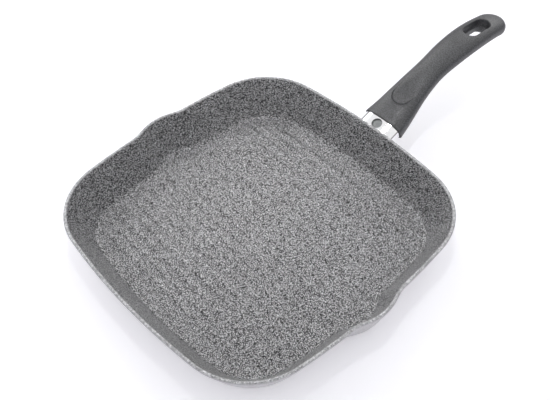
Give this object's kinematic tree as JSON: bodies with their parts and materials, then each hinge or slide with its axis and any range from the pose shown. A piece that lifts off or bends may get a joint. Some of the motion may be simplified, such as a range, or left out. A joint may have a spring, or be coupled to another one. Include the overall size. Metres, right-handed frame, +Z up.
{
  "type": "grill pan",
  "caption": "Square cast grill pan with bowed sides, a low-ribbed floor, pouring lips on opposite sides, and a curved moulded handle on a polished steel ferrule with a hanging slot.",
  "frame": {"origin": "middle of the flat base, on the surface that the pan stands on", "axes": "+X from the pan's middle along the handle, +Y towards one pouring lip, +Z up out of the pan"},
  "size_m": [0.4603, 0.2914, 0.0724],
  "materials": {
    "stone_coat": "cast aluminium under a matt grey non-stick coat with fine black and white specks",
    "cast_aluminium": "as cast, hidden in the handle",
    "polished_steel": "polished stainless steel sheet",
    "rivet_grey": "dull grey rivet head",
    "moulded_grip": "charcoal moulded thermoset with a fine matt grain",
    "zinc_steel": "zinc plated"
  },
  "bodies": {
    "root": {"pan_body": "stone_coat", "handle_bracket": "cast_aluminium", "ferrule": "polished_steel", "ferrule_rivet": "rivet_grey", "handle_grip": "moulded_grip", "handle_screw": "zinc_steel", "flat_washer": "zinc_steel", "spring_washer": "zinc_steel"}
  },
  "joints": []
}
